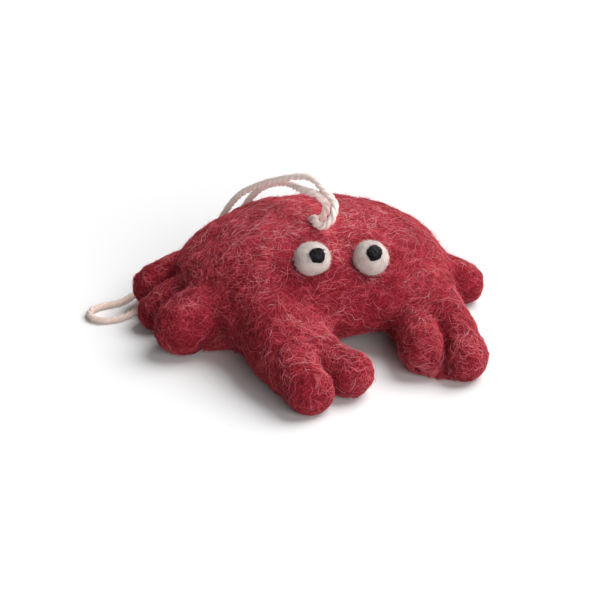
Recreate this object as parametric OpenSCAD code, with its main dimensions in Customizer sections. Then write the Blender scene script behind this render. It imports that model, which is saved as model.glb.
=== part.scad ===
// Felt crab ornament with a hanging loop of twine.
// A wool body with two claws, six legs and two bulging eyes felted to it, and one doubled cord.
// Millimetres. The crab faces -Y, its own left is +X, and +Z is up.
// The belly, claws and feet are pressed flat on the table at z = 0.

/* [Body] */
// Width of the body from side to side
body_w = 69; // [60:1:78]
// Depth of the body from front to back
body_d = 58; // [52:1:66]
// Height of the crown above the table
body_h = 26.5; // [24.5:0.5:31]
// Height of the body's widest level above the table
rim_h = 10.5; // [9:0.5:12]
// Thickness of the dyed cover over the wool core
cover_t = 4; // [3:0.5:5]
// How deep the table presses the soft forms flat
pressed = 0.5; // [0.3:0.1:0.8]
// Clearance between the core and what is round it or in it
core_gap = 0.3; // [0.1:0.1:0.5]

/* [Claws] */
// Thickness of each arm at the shoulder
shoulder_t = 19; // [16:0.5:22]
// Thickness of each arm at its bend
forearm_t = 15; // [12:0.5:17]
// Thickness of each outer finger near its tip
finger_t = 11; // [9:0.5:13]
// Thickness of each thumb where it leaves the arm
thumb_root_t = 12; // [10:0.5:14]
// Thickness of each thumb near its tip
thumb_t = 12; // [10:0.5:13]

/* [Legs] */
// Thickness of the right front leg near its end
right_front_t = 15; // [13:0.5:17]
// Thickness of the left front leg near its end
left_front_t = 10.5; // [9:0.5:13]
// Thickness of each middle leg near its end
middle_leg_t = 9.6; // [8:0.5:12]
// Thickness of each rear leg near its end
rear_leg_t = 12.2; // [11:0.5:15]

/* [Eyes] */
// Diameter of each eyeball
eye_dia = 8.5; // [7:0.1:10]
// How far the right eye sits from the middle of the face
right_eye_x = 7.1; // [6:0.1:9]
// How far the left eye sits from the middle of the face
left_eye_x = 6.8; // [6:0.1:9]
// Height where the right eye sits on the body, as a share of the body's height
right_eye_share = 0.845; // [0.72:0.005:0.9]
// Height where the left eye sits on the body, as a share of the body's height
left_eye_share = 0.804; // [0.72:0.005:0.9]
// Diameter of each pupil
pupil_dia = 3.8; // [3:0.2:4.6]

/* [Cord] */
// Diameter of the twine
cord_dia = 1.7; // [1.4:0.1:2]
// Clearance between the twine and its holes in the body
cord_fit = 0.1; // [0.05:0.05:0.2]
// Diameter of the knot under the cover
knot_dia = 5.4; // [4.6:0.2:6]
// Length of the cord's legs from the crown to the knot
knot_depth = 19; // [17.5:0.5:21]

/* [Hidden] */

red_wool = "#9c2f3c";
raw_wool = "#e3d8c8";
eye_wool = "#e6dbd4";
bead_black = "#1c1b1f";
twine = "#dccbc0";

// How far a cutter runs past what it cuts
overrun = 1;

// The body is a flattened ball whose plan and side view are a little squarer than ellipses
plan_power = 2.2;
crown_power = 2;
belly_power = 2.2;
body_sides = 36;
body_rings = 17;

// Limbs are swept along a curve through a root, a bend and a tip
limb_sides = 14;
limb_rings = 8;
cap_rings = 3;

// Root, bend and tip of each limb, seen from above, as shares of half the body's width and depth
right_arm_shares = [[-0.48, -0.40], [-0.62, -1.15], [-0.53, -1.64]];
right_thumb_shares = [[-0.48, -0.92], [-0.35, -1.25], [-0.20, -1.50]];
left_arm_shares = [[0.50, -0.35], [0.70, -0.95], [0.65, -1.56]];
left_thumb_shares = [[0.50, -0.75], [0.47, -1.02], [0.41, -1.32]];
right_front_shares = [[-0.62, -0.20], [-0.85, -0.31], [-1.06, -0.37]];
right_middle_shares = [[-0.70, 0.10], [-0.95, 0.14], [-1.15, 0.13]];
right_rear_shares = [[-0.60, 0.36], [-0.84, 0.44], [-1.06, 0.47]];
left_front_shares = [[0.62, -0.20], [0.88, -0.31], [1.06, -0.37]];
left_middle_shares = [[0.70, 0.05], [0.84, 0.00], [0.98, -0.02]];
left_rear_shares = [[0.55, 0.35], [0.74, 0.42], [0.88, 0.46]];

// Heights of a limb's root and bend, as shares of the height of the body's widest level
arm_rise_shares = [0.95, 0.75];
thumb_rise_shares = [0.80, 0.60];
leg_rise_shares = [0.95, 0.90];

function unit(v) = v / norm(v);
function signed_pow(x, p) = sign(x) * pow(abs(x), p);

// Point of the body's skin at a bearing round it and a slope from its widest level, sunk by a depth
function body_point(bearing, slope, sunk = 0) =
    let (
        power = slope < 0 ? belly_power : crown_power,
        reach = pow(cos(slope), 2 / power),
        rise = (slope < 0 ? rim_h + pressed : body_h - rim_h) - sunk
    )
    [
        (body_w / 2 - sunk) * reach * signed_pow(cos(bearing), 2 / plan_power),
        (body_d / 2 - sunk) * reach * signed_pow(sin(bearing), 2 / plan_power),
        rim_h + rise * signed_pow(sin(slope), 2 / power),
    ];

// How far the front of the body's upper skin reaches at a place across it and a height
function front_at(x, z) =
    let (
        level = pow(1 - pow((z - rim_h) / (body_h - rim_h), crown_power), plan_power / crown_power),
        across = pow(abs(x) / (body_w / 2), plan_power)
    )
    -body_d / 2 * pow(level - across, 1 / plan_power);

// Direction straight out of the body's upper skin at a point of it
function outward(p) =
    let (
        a = abs(p[0]) / (body_w / 2),
        b = abs(p[1]) / (body_d / 2),
        plan = pow(pow(a, plan_power) + pow(b, plan_power), crown_power / plan_power - 1)
    )
    unit([
        sign(p[0]) * plan * pow(a, plan_power - 1) / (body_w / 2),
        sign(p[1]) * plan * pow(b, plan_power - 1) / (body_d / 2),
        pow((p[2] - rim_h) / (body_h - rim_h), crown_power - 1) / (body_h - rim_h),
    ]);

// Two triangles for every cell of a stack of rings, and a fan to the point that closes each end
function skin_faces(rings, sides) = [
    for (i = [0:rings - 2], j = [0:sides - 1])
        let (a = i * sides + j, b = i * sides + (j + 1) % sides)
        each [[a, b, b + sides], [a, b + sides, a + sides]],
    for (j = [0:sides - 1]) [(j + 1) % sides, j, rings * sides],
    for (j = [0:sides - 1])
        [(rings - 1) * sides + j, (rings - 1) * sides + (j + 1) % sides, rings * sides + 1],
];

module skin(rings, start, end) {
    polyhedron(
        points = [for (ring = rings) each ring, start, end],
        faces = skin_faces(len(rings), len(rings[0])),
        convexity = 6
    );
}

// Everything below the table is pressed away
module on_table() {
    span = 3 * (body_w + body_d);
    difference() {
        children();
        translate([-span / 2, -span / 2, -span]) cube(span);
    }
}

module body_form(sunk = 0) {
    rings = [
        for (i = [1:body_rings])
            let (slope = -90 + 180 * i / (body_rings + 1))
            [for (j = [0:body_sides - 1]) body_point(-360 * j / body_sides, slope, sunk)]
    ];
    skin(rings, body_point(0, -90, sunk), body_point(0, 90, sunk));
}

// A curve and its direction, from three points
function along(p, t) = (1 - t) * (1 - t) * p[0] + 2 * t * (1 - t) * p[1] + t * t * p[2];
function heading(p, t) = unit((1 - t) * (p[1] - p[0]) + t * (p[2] - p[1]));

function ring_round(middle, side, up, r, sides) = [
    for (j = [0:sides - 1])
        let (turn = 360 * j / sides)
        middle + r * (cos(turn) * side + sin(turn) * up)
];

// A ring square to a limb, with one of its points level beside the middle
function limb_ring(middle, ahead, r) =
    let (side = unit(cross(ahead, [0, 0, 1])))
    ring_round(middle, side, cross(side, ahead), r, limb_sides);

// Root, bend and tip of a limb in space: the tip's underside just reaches below the table
function limb_spine(shares, rises, tip_t) = [
    [shares[0][0] * body_w / 2, shares[0][1] * body_d / 2, rises[0] * rim_h],
    [shares[1][0] * body_w / 2, shares[1][1] * body_d / 2, rises[1] * rim_h],
    [shares[2][0] * body_w / 2, shares[2][1] * body_d / 2, tip_t / 2 - pressed],
];

// A limb that swells and tapers through three thicknesses and ends in a round tip
module limb_form(shares, rises, root_t, bend_t, tip_t) {
    spine = limb_spine(shares, rises, tip_t);
    ahead = heading(spine, 1);
    tip_r = tip_t / 2;
    rings = [
        for (i = [0:limb_rings])
            let (t = i / limb_rings)
            limb_ring(along(spine, t), heading(spine, t), along([root_t, bend_t, tip_t], t) / 2),
        for (i = [1:cap_rings])
            let (turn = 90 * i / (cap_rings + 1))
            limb_ring(spine[2] + tip_r * sin(turn) * ahead, ahead, tip_r * cos(turn))
    ];
    skin(rings, spine[0], spine[2] + tip_r * ahead);
}

module right_arm_form() limb_form(right_arm_shares, arm_rise_shares, shoulder_t, forearm_t, finger_t);
module left_arm_form() limb_form(left_arm_shares, arm_rise_shares, shoulder_t, forearm_t, finger_t);
module right_thumb_form() limb_form(right_thumb_shares, thumb_rise_shares, thumb_root_t, thumb_t, thumb_t);
module left_thumb_form() limb_form(left_thumb_shares, thumb_rise_shares, thumb_root_t, thumb_t, thumb_t);
module leg_form(shares, thick) limb_form(shares, leg_rise_shares, thick, thick, thick);

module right_claw_arm() {
    color(red_wool) on_table() difference() {
        right_arm_form();
        body_form();
    }
}

module left_claw_arm() {
    color(red_wool) on_table() difference() {
        left_arm_form();
        body_form();
    }
}

module right_claw_thumb() {
    color(red_wool) on_table() difference() {
        right_thumb_form();
        body_form();
        right_arm_form();
    }
}

module left_claw_thumb() {
    color(red_wool) on_table() difference() {
        left_thumb_form();
        body_form();
        left_arm_form();
    }
}

module right_front_leg() {
    color(red_wool) on_table() difference() {
        leg_form(right_front_shares, right_front_t);
        body_form();
        right_arm_form();
    }
}

module left_front_leg() {
    color(red_wool) on_table() difference() {
        leg_form(left_front_shares, left_front_t);
        body_form();
        left_arm_form();
    }
}

module right_rear_leg() {
    color(red_wool) on_table() difference() {
        leg_form(right_rear_shares, rear_leg_t);
        body_form();
    }
}

module left_rear_leg() {
    color(red_wool) on_table() difference() {
        leg_form(left_rear_shares, rear_leg_t);
        body_form();
    }
}

module right_middle_leg() {
    color(red_wool) on_table() difference() {
        leg_form(right_middle_shares, middle_leg_t);
        body_form();
        leg_form(right_front_shares, right_front_t);
        leg_form(right_rear_shares, rear_leg_t);
    }
}

module left_middle_leg() {
    color(red_wool) on_table() difference() {
        leg_form(left_middle_shares, middle_leg_t);
        body_form();
        leg_form(left_front_shares, left_front_t);
        leg_form(left_rear_shares, rear_leg_t);
    }
}

// The eyes sit on the front of the crown, and their middles stand off the skin by a share of their radius
eye_stand_share = 0.35;
// The pupils look ahead and up, and their middles lie inside the eye's surface
right_gaze_shares = [0.02, -0.80, 0.60];
left_gaze_shares = [-0.06, -0.71, 0.70];
pupil_stand_share = 0.86;

function eye_middle(x, h) =
    let (seat = [x, front_at(x, h), h])
    seat + eye_stand_share * eye_dia / 2 * outward(seat);

right_eye_middle = eye_middle(-right_eye_x, right_eye_share * body_h);
left_eye_middle = eye_middle(left_eye_x, left_eye_share * body_h);

module eye(middle) {
    color(eye_wool) difference() {
        translate(middle) sphere(d = eye_dia, $fn = 48);
        body_form();
    }
}

module pupil(middle, gaze) {
    color(bead_black) difference() {
        translate(middle + pupil_stand_share * eye_dia / 2 * unit(gaze)) sphere(d = pupil_dia, $fn = 32);
        translate(middle) sphere(d = eye_dia, $fn = 48);
    }
}

// Route of the doubled cord, drawn over a crown of the height named here: out of the crown, over the
// back, along the table and round the loop, then home beside itself
drawn_crown_h = 26.5;
lying_h = 0.9;
drawn_route = [
    [-1.5, -3.4, 26.2], [-1.5, -5.2, 27.3], [-2.1, -8.1, 27.2], [-0.9, -10.3, 27.4],
    [0.6, -11.3, 29.3], [1.4, -10.9, 31], [2.1, -9.2, 32.6], [0.8, -6.3, 34.6],
    [-1.1, -0.1, 36], [-5.2, 7, 33.4], [-9.5, 15.2, 28.6], [-12.7, 21.7, 23.2],
    [-15.4, 27.3, 14.8], [-17.6, 30.2, 6], [-21.4, 30.6, 1.4], [-28, 28, 0.9],
    [-34.8, 23.9, 0.9], [-39.4, 18.6, 0.9], [-42, 13, 0.9], [-46.8, 9.6, 0.9],
    [-51.9, 9.7, 0.9], [-54.3, 12.4, 0.9], [-53.4, 15.7, 0.9], [-49.8, 17.2, 0.9],
    [-45.4, 17.8, 0.9], [-41, 20.6, 0.9], [-35.4, 26.2, 0.9], [-27, 30.8, 0.9],
    [-18.5, 33.3, 1.4], [-13.2, 32.9, 4.2], [-10.4, 30.4, 11.4], [-8.4, 25.6, 19.8],
    [-6.4, 18, 26.8], [-4, 9, 31.2], [-2.8, 0.6, 32.8], [-0.7, -4.9, 33.3],
    [1.1, -6.2, 31.3], [1, -6.1, 28.8], [0.6, -5.2, 27.3], [0.6, -3.4, 26.2],
];

// A taller or lower crown lifts or sinks the route, apart from what lies on the table
route_lift = (body_h - lying_h) / (drawn_crown_h - lying_h);
cord_route = [for (p = drawn_route) [p[0], p[1], lying_h + route_lift * (p[2] - lying_h)]];
cord_sides = 8;
cord_steps = 2;

cord_ends = [cord_route[0], cord_route[len(cord_route) - 1]];
leg_way = unit(cord_route[1] - cord_route[0]);
knot_middle = (cord_ends[0] + cord_ends[1]) / 2 - knot_depth * leg_way;

// A smooth curve through every point of a route
function route_point(route, i) =
    i < 0 ? 2 * route[0] - route[1]
    : i < len(route) ? route[i]
    : 2 * route[len(route) - 1] - route[len(route) - 2];

function between(a, b, c, d, t) =
    b + t * (c - a) / 2 + t * t * (a - 5 * b / 2 + 2 * c - d / 2) + t * t * t * (3 * b - a - 3 * c + d) / 2;

function smooth_route(route, steps) = [
    for (i = [0:len(route) - 2], k = [0:steps - 1])
        between(route_point(route, i - 1), route[i], route[i + 1], route_point(route, i + 2), k / steps),
    route[len(route) - 1],
];

// Direction of the curve at each of its points, straight on at both ends
function headings(route, middle) = [
    for (i = [0:len(middle) - 1])
        i == 0 ? unit(route[1] - route[0])
        : i == len(middle) - 1 ? unit(route[len(route) - 1] - route[len(route) - 2])
        : unit(middle[i + 1] - middle[i - 1]),
];

// A side direction carried along the curve so that the tube never twists
function squared(v, ahead) = unit(v - (v * ahead) * ahead);
function sideways(ahead) = [
    for (
        i = 0, side = squared([1, 0, 0], ahead[0]);
        i < len(ahead);
        i = i + 1, side = squared(side, ahead[min(i, len(ahead) - 1)])
    )
        side,
];

module hanging_cord() {
    middle = smooth_route(cord_route, cord_steps);
    ahead = headings(cord_route, middle);
    side = sideways(ahead);
    rings = [
        for (i = [0:len(middle) - 1])
            ring_round(middle[i], side[i], cross(side[i], ahead[i]), cord_dia / 2, cord_sides)
    ];
    color(twine) skin(rings, middle[0], middle[len(middle) - 1]);
}

// A round bar along the cord's way into the body, from behind one of its ends to ahead of it
module leg_bar(end, dia, behind, ahead) {
    translate(end - behind * leg_way)
        rotate(acos(leg_way[2]), cross([0, 0, 1], leg_way))
            cylinder(d = dia, h = behind + ahead, $fn = 24);
}

// The knot that holds the cord's two ends, with the legs that rise from it to the crown
module cord_knot() {
    color(twine) union() {
        translate(knot_middle) sphere(d = knot_dia, $fn = 32);
        for (end = cord_ends) leg_bar(end, cord_dia, knot_depth, 0);
    }
}

module cord_holes() {
    for (end = cord_ends) leg_bar(end, cord_dia + 2 * cord_fit, knot_depth, cord_dia + overrun);
}

// The dyed layer is a shell with the cord's two holes in its crown
module body_cover() {
    color(red_wool) on_table() difference() {
        body_form();
        body_form(cover_t);
        cord_holes();
    }
}

// The core fills the cover and has a pocket round the knot
module body_core() {
    color(raw_wool) difference() {
        body_form(cover_t + core_gap);
        cord_holes();
        translate(knot_middle) sphere(d = knot_dia + 2 * core_gap, $fn = 32);
    }
}

body_cover();
body_core();
right_claw_arm();
right_claw_thumb();
left_claw_arm();
left_claw_thumb();
right_front_leg();
right_middle_leg();
right_rear_leg();
left_front_leg();
left_middle_leg();
left_rear_leg();
eye(right_eye_middle);  // right_eye
eye(left_eye_middle);  // left_eye
pupil(right_eye_middle, right_gaze_shares);  // right_pupil
pupil(left_eye_middle, left_gaze_shares);  // left_pupil
hanging_cord();
cord_knot();
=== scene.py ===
# %% [markdown]
# # A felt crab and its loop of twine
# The crab is wool all through: a dyed cover over a core of raw wool, with two claws and six legs
# felted on while they were damp. It has felt balls for eyes and hangs by a doubled twine. The
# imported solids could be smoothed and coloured, but felt is known by its soft joins and loose
# fibres. So every solid is replaced here by a surface worked out with numpy, in the same place and
# of the same size, and real strands of wool are laid over it.

import math

import bpy
import numpy as np
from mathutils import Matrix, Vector


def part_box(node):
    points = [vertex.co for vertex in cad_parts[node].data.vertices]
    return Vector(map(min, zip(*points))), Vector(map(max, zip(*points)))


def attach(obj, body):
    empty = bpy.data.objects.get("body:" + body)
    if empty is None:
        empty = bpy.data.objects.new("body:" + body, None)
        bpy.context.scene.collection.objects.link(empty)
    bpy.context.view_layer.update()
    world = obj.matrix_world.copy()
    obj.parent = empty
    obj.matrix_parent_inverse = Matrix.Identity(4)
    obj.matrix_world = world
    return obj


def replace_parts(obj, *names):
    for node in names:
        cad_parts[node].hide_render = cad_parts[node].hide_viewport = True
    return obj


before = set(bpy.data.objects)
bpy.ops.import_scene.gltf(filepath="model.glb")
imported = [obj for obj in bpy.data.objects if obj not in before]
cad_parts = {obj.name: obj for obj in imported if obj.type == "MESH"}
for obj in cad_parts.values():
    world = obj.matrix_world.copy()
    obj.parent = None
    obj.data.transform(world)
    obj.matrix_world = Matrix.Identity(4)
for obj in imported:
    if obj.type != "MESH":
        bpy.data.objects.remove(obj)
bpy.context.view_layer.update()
MM = 0.001

# %% [markdown]
# ## The camera
# The photograph looks down at the crab from a little to its right, through a long lens, so that
# near and far parts keep almost the same scale. A camera could be placed by eye. Here turn, tilt
# and lens come from fitting the solids' outlines to the photograph, and a shift centres it.

# %% Place the camera
turn, tilt = math.radians(-20), math.radians(26.5)
distance, aim_height, picture_wide = 520, 10, 600
to_camera = Vector((math.sin(turn) * math.cos(tilt), -math.cos(turn) * math.cos(tilt), math.sin(tilt)))
aim = Vector((0, 0, aim_height * MM))
lens_data = bpy.data.cameras.new("camera")
lens_data.sensor_width, lens_data.lens = 36, 124.8
lens_data.shift_x, lens_data.shift_y = -13 / picture_wide, -28 / picture_wide
camera = bpy.data.objects.new("camera", lens_data)
camera.location = aim + to_camera * distance * MM
camera.rotation_mode = "QUATERNION"
camera.rotation_quaternion = (-to_camera).to_track_quat("-Z", "Y")
bpy.context.collection.objects.link(camera)
bpy.context.scene.camera = camera
print("camera at", [round(x, 3) for x in camera.location])

# %% [markdown]
# ## Meshes from arrays
# Every surface in this lesson is a grid of points: rows along it and columns round it. One helper
# joins such a grid into faces and closes its two ends with a fan to a single point, and another
# hands whole arrays to Blender. The order of the corners makes the faces look outwards.


# %% Turn grids into pieces
def grid_faces(rows, cols):
    """Quads between neighbouring rows of a closed ring grid, then a fan of triangles to each end point.
    The two end points follow the grid's own: first the first ring's, then the last ring's."""
    i, j = np.meshgrid(np.arange(rows - 1), np.arange(cols), indexing="ij")
    here, beside = i * cols + j, i * cols + (j + 1) % cols
    quads = np.stack([here, beside, beside + cols, here + cols], -1).reshape(-1, 4)
    j = np.arange(cols)
    k, last = (j + 1) % cols, (rows - 1) * cols
    first_end, other_end = np.full(cols, rows * cols), np.full(cols, rows * cols + 1)
    fans = np.concatenate([np.stack([k, j, first_end], -1), np.stack([last + j, last + k, other_end], -1)])
    return quads, fans


def add_piece(name, points, quads, fans):
    """A mesh object at the origin, from points in millimetres and rows of corner numbers."""
    mesh = bpy.data.meshes.new(name)
    corners = np.concatenate([quads.ravel(), fans.ravel()]).astype(np.int32)
    sizes = np.repeat([4, 3], [len(quads), len(fans)])
    mesh.vertices.add(len(points))
    mesh.vertices.foreach_set("co", (points * MM).astype(np.float32).ravel())
    mesh.loops.add(len(corners))
    mesh.loops.foreach_set("vertex_index", corners)
    mesh.polygons.add(len(sizes))
    mesh.polygons.foreach_set("loop_start", (np.cumsum(sizes) - sizes).astype(np.int32))
    mesh.polygons.foreach_set("use_smooth", np.ones(len(sizes), bool))
    mesh.update(calc_edges=True)
    piece = bpy.data.objects.new(name, mesh)
    bpy.context.collection.objects.link(piece)
    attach(piece, "root")
    return piece


def unit(v):
    """Each row of an array scaled to length one."""
    return v / np.maximum(np.linalg.norm(v, axis=-1, keepdims=True), 1e-12)


def far(p, place):
    """How far each point lies from a place."""
    return np.linalg.norm(p - place, axis=1)


def ring_about(side, up, count):
    """Directions round a line: at each station one full turn in even steps, from side and up."""
    angle = -np.linspace(0, 2 * np.pi, count, endpoint=False)[:, None]
    return np.cos(angle) * side[..., None, :] + np.sin(angle) * up[..., None, :]


def bell(distance, width):
    """One in the middle, and falling softly to nothing over a few widths."""
    return np.exp(-((distance / width) ** 2))


# %% [markdown]
# ## The hanging twine
# The real twine is three soft plies laid round each other, doubled into a loop and knotted inside
# the wool. It could be a plain tube with a twisted pattern, but up close the plies make the
# outline. So three thin tubes wind round the route that the part's source gives.

# %% Follow the route
twine_dia, ply_pitch, ply_sides = 1.7, 6.0, 12
route = np.array([
    (-1.5, -3.4, 26.2), (-1.5, -5.2, 27.3), (-2.1, -8.1, 27.2), (-0.9, -10.3, 27.4),
    (0.6, -11.3, 29.3), (1.4, -10.9, 31), (2.1, -9.2, 32.6), (0.8, -6.3, 34.6),
    (-1.1, -0.1, 36), (-5.2, 7, 33.4), (-9.5, 15.2, 28.6), (-12.7, 21.7, 23.2),
    (-15.4, 27.3, 14.8), (-17.6, 30.2, 6), (-21.4, 30.6, 1.4), (-28, 28, 0.9),
    (-34.8, 23.9, 0.9), (-39.4, 18.6, 0.9), (-42, 13, 0.9), (-46.8, 9.6, 0.9),
    (-51.9, 9.7, 0.9), (-54.3, 12.4, 0.9), (-53.4, 15.7, 0.9), (-49.8, 17.2, 0.9),
    (-45.4, 17.8, 0.9), (-41, 20.6, 0.9), (-35.4, 26.2, 0.9), (-27, 30.8, 0.9),
    (-18.5, 33.3, 1.4), (-13.2, 32.9, 4.2), (-10.4, 30.4, 11.4), (-8.4, 25.6, 19.8),
    (-6.4, 18, 26.8), (-4, 9, 31.2), (-2.8, 0.6, 32.8), (-0.7, -4.9, 33.3),
    (1.1, -6.2, 31.3), (1, -6.1, 28.8), (0.6, -5.2, 27.3), (0.6, -3.4, 26.2),
])


def smooth_route(points, spacing):
    """A Catmull-Rom curve through all the points, then points at even spacing along it."""
    padded = np.vstack([2 * points[0] - points[1], points, 2 * points[-1] - points[-2]])
    a, b, c, d = (padded[k : len(padded) - 3 + k, None] for k in range(4))
    t = np.linspace(0, 1, 24, endpoint=False)[None, :, None]
    bend = b + t * (c - a) / 2 + t**2 * (a - 2.5 * b + 2 * c - d / 2) + t**3 * (3 * b - a - 3 * c + d) / 2
    line = np.vstack([bend.reshape(-1, 3), points[-1:]])
    run = np.concatenate([[0], np.cumsum(np.linalg.norm(np.diff(line, axis=0), axis=1))])
    marks = np.linspace(0, run[-1], max(int(run[-1] / spacing), 2))
    return np.stack([np.interp(marks, run, line[:, k]) for k in range(3)], -1), marks


def carried_frame(line):
    """The line's direction at each point, and two directions square to it that never spin about it:
    each side is the one before, less what lies along the new direction."""
    ahead = unit(np.gradient(line, axis=0))
    side = np.zeros_like(line)
    side[0] = unit(np.cross(ahead[0], (0.3, 0.2, 1)))
    for i in range(1, len(line)):
        side[i] = unit(side[i - 1] - side[i - 1] @ ahead[i] * ahead[i])
    return ahead, side, np.cross(side, ahead)


twine_line, twine_marks = smooth_route(route, 0.36)
print("twine:", round(twine_marks[-1], 1), "mm long,", len(twine_line), "stations")


# %% Lay the three plies
def plied(line, marks, dia, seed):
    """The middles and radii of three tubes about a line. Each middle circles the line once for every
    pitch of its length, and its own thickness swells and thins a little. Near both ends the plies
    open up, by a bell curve of the way to the nearer end, and the twine is thicker there."""
    rng = np.random.default_rng(seed)
    ahead, side, up = carried_frame(line)
    open_share = bell(np.minimum(marks, marks[-1] - marks) - 8, 9)
    swell = dia * (1 + 0.22 * open_share)
    plies = []
    for ply in range(3):
        angle = 2 * np.pi * (marks / ply_pitch + ply / 3) + 0.25 * np.sin(marks / 3.1 + rng.uniform(0, 6))
        away = np.cos(angle)[:, None] * side + np.sin(angle)[:, None] * up
        middle = line + (swell * (0.17 + 0.055 * open_share))[:, None] * away
        thick = swell * (0.325 - 0.04 * open_share + 0.012 * np.sin(marks * 1.9 + rng.uniform(0, 6)))
        plies.append((middle, thick))
    return plies, side, up


def ply_forms(plies, side, up):
    """For each ply a ring at every station and the middle of each end, then the faces between them."""
    ring, faces = ring_about(side, up, ply_sides), grid_faces(len(side), ply_sides)
    for middle, thick in plies:
        grid = middle[:, None] + thick[:, None, None] * ring
        yield np.vstack([grid.reshape(-1, 3), middle[:1], middle[-1:]]), *faces


def joined(forms):
    """Several sets of points, quads and fans as one."""
    points, *faces = zip(*forms)
    steps = np.cumsum([0] + [len(p) for p in points[:-1]])
    return np.vstack(points), *(np.concatenate([f + s for f, s in zip(kind, steps)]) for kind in faces)


def add_groove_shade(piece, points, line):
    """An attribute for the finish: how deep each point lies between the plies, from its distance to
    the line. The finish paints the twine darker there, as painted shade in the grooves."""
    nearest = np.concatenate([
        np.linalg.norm(part[:, None] - line, axis=-1).min(1) for part in np.array_split(points, 40)
    ])
    depth = np.clip(1.25 - 2.3 * nearest / twine_dia, 0, 1)
    piece.data.attributes.new("groove", "FLOAT", "POINT").data.foreach_set("value", depth.astype(np.float32))


plies, ply_side, ply_up = plied(twine_line, twine_marks, twine_dia, seed=3)
twine_form = joined(ply_forms(plies, ply_side, ply_up))
twine = add_piece("hanging_twine", *twine_form)
add_groove_shade(twine, twine_form[0], twine_line)
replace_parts(twine, "hanging_cord")
print("plies:", len(plies), "faces:", len(twine.data.polygons))
crown_exit = (route[0] + route[-1]) / 2

# %% [markdown]
# ## The shape of the wool
# Wet felt has no seams: where a leg leaves the body the surface runs on in a soft hollow. The
# pieces could be glued together by remeshing, but then they would be one lump. So the shape is
# held in one function instead, a gap: how far a point lies outside the wool, and less than nothing
# inside it. The gaps of body and limbs are melted together, and every skin is then brought to
# where the melted gap is nothing, so separate pieces meet as softly as the real ones.

# %% The body's gap
body_low, body_high = (np.array(c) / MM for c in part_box("body_cover"))
half_w, half_d = (body_high - body_low)[:2] / 2
crown_h, rim_h, pressed = body_high[2], 10.5, 0.5
plan_power, crown_power, belly_power = 2.2, 2.0, 2.2


def body_gap(p):
    """A flattened ball: the shares of its half width and half depth, to the plan power, and of its rise,
    to the side power, add up to one on its skin. The gap is how far the sum's root is past one, over
    how fast it grows."""
    x, y, z = np.abs(p[:, 0]) / half_w, np.abs(p[:, 1]) / half_d, p[:, 2] - rim_h
    power = np.where(z < 0, belly_power, crown_power)
    rise = np.where(z < 0, rim_h + pressed, crown_h - rim_h)
    plan = np.maximum(x**plan_power + y**plan_power, 1e-9)
    tall = np.abs(z) / rise
    size = np.maximum((plan ** (power / plan_power) + tall**power) ** (1 / power), 1e-6)
    across = size ** (1 - power) * plan ** (power / plan_power - 1)
    growth = np.stack([
        across * x ** (plan_power - 1) / half_w,
        across * y ** (plan_power - 1) / half_d,
        size ** (1 - power) * tall ** (power - 1) / rise,
    ])
    return (size - 1) / np.maximum(np.linalg.norm(growth, axis=0), 1e-3)


# %% The limbs' gaps
arm_rises, thumb_rises, leg_rises = (0.95, 0.75), (0.80, 0.60), (0.95, 0.90)
# Root, bend and tip as shares of half the body's width and depth, rises as shares of the rim's
# height, and the thickness at root, bend and tip. The last two are low folds of wool, one between
# the right front leg and its arm, one in the fork of the left claw, and no solid has them.
limbs = {
    "right_claw_arm": ([(-0.48, -0.40), (-0.63, -1.15), (-0.52, -1.64)], arm_rises, (19, 15.4, 11.4)),
    "right_claw_thumb": ([(-0.48, -0.92), (-0.35, -1.25), (-0.20, -1.50)], thumb_rises, (12, 11.6, 11.7)),
    "left_claw_arm": ([(0.50, -0.35), (0.695, -0.95), (0.635, -1.575)], arm_rises, (18.4, 14.2, 10.6)),
    "left_claw_thumb": ([(0.52, -0.75), (0.485, -1.02), (0.40, -1.35)], thumb_rises, (11.6, 11.4, 12.4)),
    "right_front_leg": ([(-0.62, -0.20), (-0.85, -0.31), (-1.075, -0.355)], leg_rises, (15, 15, 14.3)),
    "right_middle_leg": ([(-0.70, 0.10), (-0.95, 0.14), (-1.15, 0.13)], leg_rises, (9.6,) * 3),
    "right_rear_leg": ([(-0.60, 0.36), (-0.84, 0.44), (-1.06, 0.47)], leg_rises, (12.2, 12.6, 12.6)),
    "left_front_leg": ([(0.62, -0.20), (0.88, -0.30), (1.07, -0.335)], leg_rises, (12, 11.4, 10.8)),
    "left_middle_leg": ([(0.70, 0.05), (0.84, 0.00), (0.98, -0.02)], leg_rises, (9.6,) * 3),
    "left_rear_leg": ([(0.55, 0.35), (0.74, 0.42), (0.88, 0.46)], leg_rises, (12.2,) * 3),
    "right_web": ([(-0.94, -0.40), (-0.85, -0.40), (-0.70, -0.43)], (0.28, 0.28), (6.6,) * 3),
    "left_fold": ([(0.50, -1.22), (0.52, -1.29), (0.53, -1.34)], (0.15, 0.15), (3.4,) * 3),
}
folds = ("right_web", "left_fold")


def bowed(three, t):
    """A curve from the first of three values to the last, drawn towards the middle one."""
    shares = ((1 - t) ** 2, 2 * t * (1 - t), t * t)
    return sum(np.multiply.outer(share, np.asarray(v, float)) for share, v in zip(shares, three))


def limb_curve(name, t):
    """Middles and radii along a limb, where its tip's underside just reaches below the table."""
    shares, rises, thick = limbs[name]
    heights = (rises[0] * rim_h, rises[1] * rim_h, thick[2] / 2 - pressed)
    bends = [(x * half_w, y * half_d, z) for (x, y), z in zip(shares, heights)]
    return bowed(bends, t), bowed(thick, t) / 2


chains = {name: limb_curve(name, np.linspace(0, 1, 15)) for name in limbs}
reach = 11.0


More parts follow.
